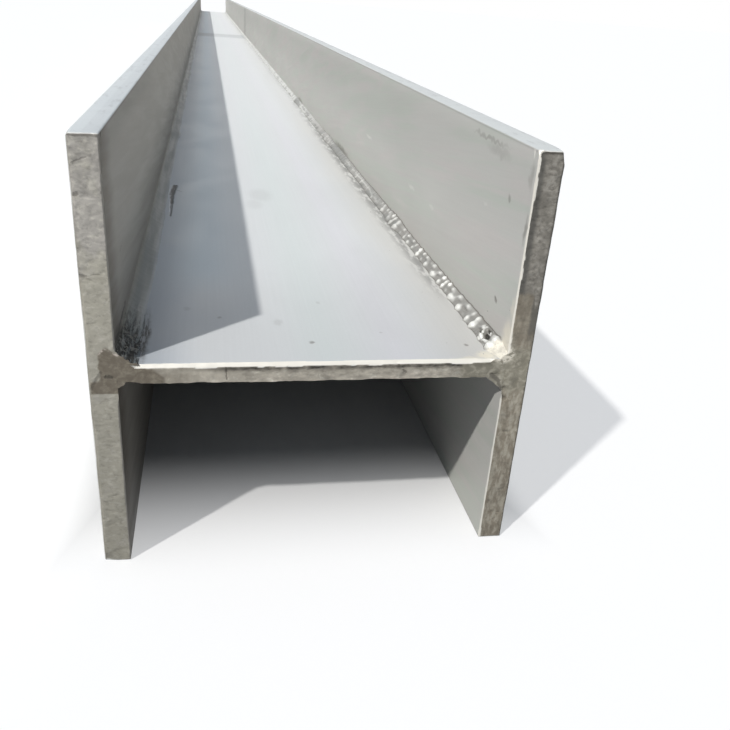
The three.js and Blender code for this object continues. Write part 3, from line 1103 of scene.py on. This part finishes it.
webLook = {
    "steel": rgb(218, 220, 221),
    "green": rgb(214, 220, 219),
    "lilac": rgb(219, 219, 223),
    "warm": rgb(212, 211, 208),
    "cool": rgb(203, 209, 216),  # painted shade: a bluish tint along the left bead, where the web lies in shadow
    # painted shade: the bluish tint of the web's shadowed left part
    "bluishShade": rgb(211, 220, 225),
    "dressed": rgb(194, 197, 198),
    "cream": rgb(232, 226, 210),
    "roughness": 0.46,
    "marks": webSpots(
        (-1.7, 22, 1.6, 2.2, 0.55), (73, 17, 1.6, 2.2, 0.55), (-15.5, 47, 3.4, 6, 0.14),
        (-44, 54, 1.5, 2.2, 0.28), (-60, 66, 2.6, 4, 0.14), (-8, 316, 13, 30, 0.10),
        (-14, 286, 9, 22, 0.08), (8, 74, 1.6, 3, 0.14), (34, 33, 1.2, 1.4, 0.18),
    ),
    "burns": webSpots((-79.4, 28, 4.4, 46, 0.9), (-77.4, 36, 2.4, 8, 1)),
    "smoothed": webSpots((79, 4, 7, 7, 0.9), (70, 1, 9, 4, 0.6)),
    # across and along: start, end, width, strength
    "gouges": [
        ((-75.4, 342), (-77, 310), 5.8, 1), ((-76.8, 316), (-76, 282), 4, 0.95),
        ((-76, 286), (-75.4, 246), 2.6, 0.7), ((-74, 326), (-69, 321), 2.4, 0.3),
    ],
}


def webSteel():
    look = webLook
    material, shader, x, y, z = newMetal("webSteel", plateLook["metallic"], plateLook["shine"])
    bands = clouds(x / 22, y / 2600, 1)
    streaks = clouds(x / 1.3, y / 140, z / 1.3, 3, 0.6)
    grain = clouds(x / 0.7, y / 1.1, z / 0.7)
    blotches = clouds(x / 38, y / 95, z / 38, 4, 0.55, 0.6)
    shifted = x + bands.swing(26)
    near = y.ramp(350, 1100, 1, 0.4)
    edges = abs(x) + blotches.swing(24)
    fromSplice = abs(y - spliceAlong + 55 + blotches.swing(60))
    dressed = fromSplice.ramp(150, 60) * 0.85 + fromSplice.hump(16, 7) * 0.08
    colour = coated(
        look["steel"],
        (shifted.hump(6, 16) * near * 0.8, look["green"]),
        (shifted.hump(38, 13) * near * 0.8, look["lilac"]),
        # painted shade: the bluish tints over the web's shadowed left part; a warm tone along the right bead
        (edges.ramp(48, 80) * near, blend(x.above(0), look["cool"], look["warm"])),
        (x.hump(-52, 18) * y.ramp(70, 130), look["bluishShade"]),
        (dressed, look["dressed"]),
    )
    level = streaks.swing(0.07) + grain.swing(0.05) + 1
    level = level + blotches.swing(0.10) + bands.swing(0.05)
    level = level * (y + blotches.swing(90)).ramp(0, 190, 0.88, 1)
    # painted sheen: lighter further along
    level = level * y.ramp(200, 900, 1, 1.04)
    # painted shade, deepening towards the left flange and further along the shadowed part
    level = level * (x + bands.swing(8)).ramp(-50, -84, 1, 0.8)
    level = level - x.hump(-61, 15) * y.ramp(120, 320) * 0.07
    level = level - x.hump(-42, 14) * y.hump(50, 34) * 0.035
    smear = clouds(x / 5, y / 22, 6, 4, 0.6).ramp(0.4, 0.54)
    smear = smear * x.hump(81.5, 5.2) * y.ramp(60, 120) * y.ramp(1000, 460, 0.3, 1)
    colour = tinted(colour, level * (smear * -0.5 + 1))

    # grime, the scrape, burns at the left corner, and what was smoothed at the right one
    place = ragged(x, y, z, 3, 0.9)
    marks = spots(place, look["marks"])
    soiled = marks.atLeast(clouds(x / 2.4, y / 3.2, z / 2.4, 2, 0.4).ramp(0.80, 0.88) * 0.2)
    torn = clouds(x / 2.2, y / 11, 8, 2, 0.6)
    gouge = strokes(x + torn.swing(2), y + torn.swing(9), look["gouges"])
    gouge = gouge * torn.ramp(0.3, 0.5, 0.7, 1) * z.ramp(103, 103.5)
    burnt = clouds(x / 1.5, y / 12, 3, 4, 0.65).ramp(0.62, 0.46, 0.3, 1)
    colour = coated(
        colour,
        (soiled, plateLook["grime"]),
        (gouge * 0.95, plateLook["scraped"]),
        (spots(place, look["burns"]) * burnt, plateLook["soot"]),
        (spots(ragged(x, y, z, 5, 3), look["smoothed"]), look["cream"]),
    )
    roughness = blotches.ramp(0.3, 0.7, look["roughness"] - 0.05, look["roughness"] + 0.07)
    roughness = roughness + soiled * 0.2 + dressed * 0.06
    height = streaks * 0.012 + grain * 0.010 - gouge * 0.35 - marks * 0.05
    finishPlate(shader, x, z, colour, roughness, height)
    return material


flangeLook = {
    "steel": rgb(204, 203, 198),
    "green": rgb(198, 201, 193),
    "pink": rgb(206, 202, 198),
    "edge": rgb(210, 214, 214),
    "leftEdge": rgb(207, 213, 216),
    "bright": rgb(230, 230, 224),
    "cream": rgb(226, 220, 206),
    "dressed": rgb(178, 177, 172),
    "roughness": 0.54,
    "leftInnerShade": rgb(163, 158, 150),  # painted shade: the left flange's inner face, which stands in shadow, is made darker
    "brown": rgb(150, 139, 124),
    "marks": flangeSpots(
        1,
        (3.6, 165, 2.8, 8, 0.45), (62, 194.4, 34, 1.8, 0.3), (48, 191, 22, 3.4, 0.18), (27, 174, 2.6, 2, 0.4),
        # the last two darken the flange beside the bead's darker stretches, in the grime's colour
        (25, 123.5, 3.4, 1.6, 0.6), (5, 188, 4, 8, 0.25), (505, 109, 60, 6, 0.52), (905, 109, 40, 5, 0.48),
    ) + flangeSpots(-1, (46, 141.5, 7, 1.2, 0.3)),
    "burns": flangeSpots(-1, (47, 113.6, 5, 1.8, 1), (26, 113.6, 30, 2, 0.8), (8, 110, 26, 9, 0.95)),
    "brightMarks": flangeSpots(
        1,
        (364, 145.5, 16, 2, 0.6), (205, 138, 11, 2.2, 0.4), (152, 138, 8, 1.8, 0.3), (57, 163.5, 4, 1.5, 0.3),
    ),
    "smoothed": flangeSpots(1, (3, 112, 11, 14, 0.9), (1, 128, 5, 10, 0.6))
    + flangeSpots(-1, (1, 108, 3, 5, 0.5)),
}


def flangeSteel():
    look = flangeLook
    material, shader, x, y, z = newMetal("flangeSteel", plateLook["metallic"], plateLook["shine"])
    slanted = z + y * 0.12
    side = x / 25
    drawn = clouds(side, y / 130, slanted / 8, 4, 0.55, 0.4)
    drawnToo = clouds(side + 7, y / 90, slanted / 12, 3, 0.5, 0.4)
    streaks = clouds(side, y / 55, slanted / 1.1, 3, 0.6)
    grain = clouds(x / 0.7, y / 0.9, z / 0.7)
    blotches = clouds(side, y / 190, z / 60, 3, 0.5, 0.5)
    inLeft = abs(x + 90).ramp(5, 4)
    frontDark = (y + drawnToo.swing(26) - z * 0.06).ramp(28, -8) * inLeft
    # the splice, dressed with a grinder along the flange
    swept = clouds(side + 3, y / 200, z / 9, 3, 0.6)
    fromSplice = abs(y - spliceAlong + (blotches.swing(50) + swept.swing(110)))
    colour = coated(
        look["steel"],
        (drawn.ramp(0.42, 0.66), look["green"]),
        (drawnToo.ramp(0.46, 0.68) * 0.9, look["pink"]),
        # painted shade over the left flange's inner face
        (inLeft * 0.92, look["leftInnerShade"]),
        (frontDark * 0.6, look["brown"]),
        (fromSplice.ramp(110, 25) * 0.7, look["dressed"]),
    )

    level = streaks.swing(0.07) + grain.swing(0.06) + 1
    level = level + drawn.swing(0.09) + blotches.swing(0.13)
    outside = abs(x).ramp(99.2, 99.6)
    level = level * mixed(outside, (z + drawn.swing(12)).ramp(108, 150, 0.88, 1), 0.96)
    handled = clouds(side, y / 120, slanted / 22, 3, 0.5, 0.15)
    scratched = clouds(side, (y + z * 2) / 150, (z - y * 0.05) / 0.8, 3, 0.55)
    level = level * (handled.ramp(0.34, 0.66, 0.965, 1.02) * outside + (1 - outside))
    level = level + scratched.ramp(0.66, 0.74) * outside * 0.07
    # painted shade, deepening down the left flange's inner face towards the web
    level = level * (1 - (z + drawn.swing(14)).ramp(158, 106) * inLeft * 0.28)
    level = level * (1 - frontDark * 0.42)
    level = level * (1 - (z + drawn.swing(8)).ramp(184, 196) * y.ramp(420, 120) * inLeft * 0.2)
    colour = tinted(colour, level)
    upDown = abs(z - middleUp)
    edge = blend(x.above(0), look["leftEdge"], look["edge"])
    smudged = clouds(x / 5, y / 26, 3, 4, 0.65).ramp(0.52, 0.68)
    edge = tinted(edge, grain.swing(0.08) + streaks.swing(0.1) - smudged * 0.16 + 1)
    colour = blend(upDown.ramp(99.4, 99.8) * 0.9, colour, edge)
    colour = tinted(colour, upDown.hump(99.2, 0.5) * -0.22 + 1)

    # scuffs, grime, burns, and what was smoothed beside the cut end
    place, loose = ragged(x, y, z, 4, 1.3), ragged(x, y, z, 6, 2.8)
    burnt = clouds(x / 4, y / 14, slanted / 1.6, 4, 0.65).ramp(0.66, 0.48, 0.35, 1)
    specks = clouds(x / 2, y / 3.4, z / 2, 2, 0.4).ramp(0.78, 0.86) * 0.35
    soiled = specks.atLeast(spots(loose, look["marks"]))
    colour = coated(
        colour,
        (spots(place, look["brightMarks"]), look["bright"]),
        (soiled, plateLook["grime"]),
        (spots(place, look["burns"]) * burnt, plateLook["soot"]),
        (spots(loose, look["smoothed"]), look["cream"]),
    )
    roughness = drawn.ramp(0.35, 0.7, look["roughness"] + 0.04, look["roughness"] - 0.07) + soiled * 0.15
    height = streaks * 0.012 + grain * 0.012 + drawn * 0.03 - soiled * 0.05
    finishPlate(shader, x, z, colour, roughness, height)
    return material


beadLooks = {
    "bright": {
        "metal": rgb(190, 189, 185),
        # painted shade between the lumps
        "low": rgb(140, 138, 133),
        "far": rgb(205, 206, 202),
        # painted highlight on the lumps
        "bright": rgb(233, 233, 228),
        "slag": rgb(104, 101, 95),
        "smudge": rgb(122, 123, 119),
        "smudged": 0.88,
        "soot": rgb(52, 50, 46),
        "cream": rgb(228, 223, 210),
        "fleck": rgb(228, 223, 210),
        "metallic": 0.2,
        "shine": 0.5,
        "roughness": 0.34,
        "toes": 0.85,
        "besideWeb": rgb(176, 178, 178),
        "besideFlange": rgb(176, 176, 172),
        "patchLength": 7,
        "strand": 0.5,
        "blurred": 0,  # how far its colour runs out into the web's
        "sooty": 0,
    },
    # a copy of the bright look, darkened all over as painted shade, for the bead in the left flange's shadow
    "dull": {
        "metal": rgb(116, 121, 121),
        # painted shade between the lumps
        "low": rgb(110, 114, 114),
        "far": rgb(128, 130, 128),
        # painted highlight on the lumps
        "bright": rgb(150, 150, 146),
        "slag": rgb(88, 90, 88),
        "smudge": rgb(96, 100, 101),
        "smudged": 0.4,
        "soot": rgb(34, 33, 31),
        "cream": rgb(210, 204, 192),
        "fleck": rgb(158, 156, 148),
        "metallic": 0.15,
        "shine": 0.25,
        "roughness": 0.46,
        "toes": 0.15,
        # painted shade: the colours of the shadowed web and flange, run into the bead's edges
        "besideWeb": rgb(140, 146, 149),
        "besideFlange": rgb(112, 112, 106),
        "patchLength": 60,
        "strand": 0,
        "blurred": 0.9,
        "sooty": 0.92,
    },
}


# stretches where the bright bead comes out darker
darkStretches = [(505, 66), (905, 44)]  # along a bead: middle and half length in mm


def beadMetal(finishAndShade):
    look = beadLooks[finishAndShade]
    material, shader, x, y, z = newMetal(finishAndShade + "BeadMetal", look["metallic"], look["shine"])
    names = ("across", "height", "groundEdge", "cutFace")
    across, height, ground, cut = (painted(x.tree, name) for name in names)
    fine = clouds(x / 0.8, y / 0.8, z / 0.8, 3, 0.6)
    patches = clouds(x / 4, y / look["patchLength"], z / 4, 3, 0.6)
    heat = clouds(x / 12, y / 60, z / 12)
    patchy = height + patches.swing(0.3)
    # painted shade where the bead lies low between its lumps, painted highlights where it rises, and slag in
    # its deepest pits
    colour = coated(
        blend(patchy.ramp(-0.05, 0.35), look["low"], look["metal"]),
        (y.ramp(560, 900), look["far"]),
        (patchy.ramp(0.25, 0.7) * y.ramp(150, 320, 1, 0.55), look["bright"]),
        ((height + fine.swing(0.3)).ramp(-0.5, -1.1) * 0.8, look["slag"]),
    )
    # dark along the toes: slag and soot, and the painted shade of the undercut groove there
    toes = (across + fine.swing(0.06)).ramp(0.88, 0.96) * look["toes"]
    fouled = patches.ramp(0.42, 0.58, 0.25, 0.8)
    toes = toes.atLeast((across + patches.swing(0.2)).ramp(0.12, 0.02) * look["toes"] * fouled)
    toes = toes * (1 - ground) * y.ramp(300, 700, 1, 0.45)

    # smudges beyond the first stretch, and a bright strand drawn along the bead
    dirt = clouds(x / 6, y / 26, z / 5, 4, 0.62)
    beyond = y.ramp(120, 260, 0.3, 1) * y.ramp(700, 1500, 1, 0.45)
    darkened = strongest(abs(y - middle).ramp(half, half * 0.5) for middle, half in darkStretches)
    dirty = dirt.ramp(0.44, 0.6) * beyond + darkened * dirt.ramp(0.3, 0.44)
    dirty = (dirty * across.ramp(0.45, 0.85, 1, 0.5) * (1 - ground)).atMost(1)
    covered = strongest([height.ramp(0.5, 0.2), y.ramp(140, 280, 0, 0.7), darkened])
    drawnOut = clouds(across * 4, y / 20, 2, 4, 0.65)
    strand = (across + drawnOut.swing(0.6)).hump(0.58, 0.17) * drawnOut.ramp(0.36, 0.6)
    strand = strand * y.ramp(220, 360) * y.ramp(680, 500) * (1 - darkened * 0.9)
    drift = clouds(x / 4, y / 50, z / 4, 3, 0.55).swing(0.3)
    colour = coated(
        colour,
        (toes, look["slag"]),
        (dirty * covered * look["smudged"], look["smudge"]),
        (strand * look["strand"], look["bright"]),
        ((across + drift).ramp(0.3, -0.02) * look["blurred"], look["besideWeb"]),
        ((across + drift).ramp(0.66, 0.98) * look["blurred"], look["besideFlange"]),
    )
    colour = tinted(colour, fine.swing(0.08) + patches.swing(0.16) + heat.swing(0.10) + 1)

    # burnt and sooty at the front of the shaded bead, and soot's colour as painted shade in the crater's hole
    # of the bright one
    lines = clouds(x / 1.5, y / 12, z / 1.5, 4, 0.68)
    sooty = (y + lines.swing(90)).ramp(64, 12) * look["sooty"]
    pale = clouds(x / 2, y / 3, z / 2, 3, 0.6).ramp(0.52, 0.62)
    dusty = patches.ramp(0.35, 0.6, 0.84, 1.03) * fine.ramp(0.35, 0.55, 0.86, 1.02)
    cutColour, cutRoughness, cutHeight = cutFace(x, z)
    colour = coated(
        colour,
        (sooty * lines.ramp(0.62, 0.46), look["soot"]),
        (sooty * pale * y.ramp(44, 22) * 0.6, look["fleck"]),
        # painted shade in the crater's hole, in soot's colour
        (height.ramp(-0.9, -1.7), look["soot"]),
        (ground, tinted(look["cream"], dusty)),
        (cut, cutColour),
    )
    roughness = patches.ramp(0.35, 0.65, look["roughness"] - 0.04, look["roughness"] + 0.12)
    roughness = roughness + toes * 0.25 + sooty * 0.3 + ground * 0.25
    finishMetal(shader, colour, mixed(cut, roughness, cutRoughness), mixed(cut, fine * 0.025, cutHeight))
    return material


spliceLook = {
    "metal": rgb(196, 198, 196),
    "onFlange": rgb(176, 175, 170),
    "dark": rgb(164, 164, 159),
    "metallic": 0.2,
    "roughness": 0.45,
}


def spliceMetal():
    # weld metal dressed flush with a grinder: crossed fine scratches over dull patches
    look = spliceLook
    material, shader, x, y, z = newMetal("spliceMetal", look["metallic"])
    patches = clouds(x / 16, y / 6, z / 16, 4)
    one = clouds((x + z + y * 0.5) / 0.4, (y - x - z) / 9, 2)
    other = clouds((x + z - y * 0.8) / 0.4, (y + x + z) / 7, 6)
    scratches = one.atLeast(other)
    pits = clouds(x / 1.6, y / 1.6, z / 1.6).ramp(0.70, 0.78)
    metal = blend(abs(x).above(beam["inner"] / mm - 0.5), look["metal"], look["onFlange"])
    colour = tinted(blend(patches.ramp(0.3, 0.8) * 0.7, metal, look["dark"]), scratches.swing(0.16) + 1)
    colour = blend(pits * 0.5, colour, look["dark"])
    roughness = patches.ramp(0.35, 0.7, look["roughness"] - 0.06, look["roughness"] + 0.14)
    finishMetal(shader, colour, roughness, scratches * 0.02 - pits * 0.12)
    return material


print("materials")
web, flange, spliceWeldMetal = webSteel(), flangeSteel(), spliceMetal()
beadMetals = {finishAndShade: beadMetal(finishAndShade) for finishAndShade in beadLooks}

print("plates")
webSize = (2 * beam["inner"], beam["webTop"] - beam["webUnder"])
flangeSize = (beam["top"], beam["outer"] - beam["inner"])
flangeSides = (("Left", -1), ("Right", 1))
for part, endY, inward in (("Front", beam["front"], 1), ("Rear", beam["rear"], -1)):
    length = abs(beam["splice"] - endY)
    makePlate("webPlate" + part, web, webPlace(endY, inward), *webSize, length, webChamfers())
    for sideName, side in flangeSides:
        place = flangePlace(side, endY, inward)
        makePlate(f"flangePlate{sideName}{part}", flange, place, *flangeSize, length, flangeChamfers(side))

print("splice welds")
splices = [("spliceWeldWeb", webSize, webPlace(beam["splice"], 1))]
for sideName, side in flangeSides:
    splices.append(("spliceWeldFlange" + sideName, flangeSize, flangePlace(side, beam["splice"], 1)))
for name, (width, thickness), place in splices:
    newPiece(name, spliceMesh(name, width / mm, thickness / mm, place), spliceWeldMetal)

print("fillet welds")
tree = beadTree()
for name, bead in weldBeads.items():
    piece = makeBead(name, bead, tree, beadMetals[bead["finishAndShade"]])
    print("   ", name, len(piece.data.polygons), "faces")


studio = {
    "floorSize": 80,
    "floorColour": 0.45,
    "lift": 0.57,  # what the floor gives to rays that see it straight or in metal
    "liftBeside": 0.03,  # metres from the beam's sides where it gives it all
    "liftBeyond": (-0.10, 0.02),  # and from its ends, from nothing to all
    "sunTowards": (0.505, 0.443, -0.742),
    "sunStrength": 3.1,
    "sunColour": (1, 0.98, 0.95),
    "sunAngle": math.radians(1.6),
    "skyColour": (0.77, 0.93, 1.15),
    "skyLow": 0.04,  # at the horizon, and how much more overhead
    "skyHigh": 0.32,
}


def seenRays(tree):
    # rays that see the background: straight from the camera, or in metal or glass
    rays = tree.nodes.new("ShaderNodeLightPath")
    names = ("Is Camera Ray", "Is Glossy Ray", "Is Transmission Ray")
    return strongest(Field(rays.outputs[name]) for name in names)


def floorMaterial():
    material = bpy.data.materials.new("paleFloor")
    material.use_nodes = True
    tree = material.node_tree
    tree.nodes.clear()
    x, y, _ = split(addNode(tree, "ShaderNodeTexCoord", out="Object"))
    # nothing is added under the beam, where its own shadow is deepest
    beside = abs(x).ramp(beam["inner"], beam["outer"] + studio["liftBeside"])
    beyond = abs(y).ramp(*(beam["rear"] + margin for margin in studio["liftBeyond"]))
    lift = beside.atLeast(beyond) * seenRays(tree) * studio["lift"]
    pale = addNode(tree, "ShaderNodeBsdfDiffuse", {"Color": (studio["floorColour"],) * 3 + (1,)})
    glow = addNode(tree, "ShaderNodeEmission", {"Strength": lift})
    both = addNode(tree, "ShaderNodeAddShader", {0: pale, 1: glow})
    feed(both, tree.nodes.new("ShaderNodeOutputMaterial").inputs[0])
    return material


def makeFloor():
    half = studio["floorSize"] / 2
    mesh = bpy.data.meshes.new("floor")
    corners = [(-half, -half, 0), (half, -half, 0), (half, half, 0), (-half, half, 0)]
    mesh.from_pydata(corners, [], [(0, 1, 2, 3)])
    mesh.materials.append(floorMaterial())
    inScene("floor", mesh)


def makeLight():
    sun = bpy.data.lights.new("sun", "SUN")
    sun.energy = studio["sunStrength"]
    sun.color = studio["sunColour"]
    sun.angle = studio["sunAngle"]
    lamp = inScene("sun", sun)
    lamp.rotation_euler = Vector(studio["sunTowards"]).to_track_quat("-Z", "Y").to_euler()
    world = bpy.data.worlds.new("studio")
    bpy.context.scene.world = world
    world.use_nodes = True
    tree = world.node_tree
    seen = seenRays(tree)
    upwards = split(addNode(tree, "ShaderNodeTexCoord", out="Generated"))[2]
    sky = tinted(studio["skyColour"], upwards.atLeast(0) * studio["skyHigh"] + studio["skyLow"])
    feed(blend(seen, sky, (1, 1, 1, 1)), tree.nodes["Background"].inputs["Color"])


lensView = {
    "place": (-0.0476, -3.3091, 0.2512),
    "lens": 38.05,
    "sensor": 36,
    "clip": (0.02, 200),
    "yaw": math.radians(12.34),  # from +Y towards +X
    "down": math.radians(25.2),
    "roll": math.radians(4.32),
}


def makeCamera():
    camera = bpy.data.cameras.new("camera")
    camera.lens = lensView["lens"]
    camera.sensor_width = lensView["sensor"]
    camera.clip_start, camera.clip_end = lensView["clip"]
    yaw, down, roll = lensView["yaw"], lensView["down"], lensView["roll"]
    ahead = Vector((math.sin(yaw) * math.cos(down), math.cos(yaw) * math.cos(down), -math.sin(down)))
    level = Vector((math.cos(yaw), -math.sin(yaw), 0))
    upright = level.cross(ahead)
    right = level * math.cos(roll) + upright * math.sin(roll)
    up = upright * math.cos(roll) - level * math.sin(roll)
    turn = Matrix((right, up, -ahead)).transposed().to_4x4()
    holder = inScene("camera", camera)
    holder.matrix_world = Matrix.Translation(lensView["place"]) @ turn
    bpy.context.scene.camera = holder


print("floor, light and camera")
makeFloor()
makeLight()
makeCamera()
bpy.context.scene.view_settings.view_transform = "Standard"
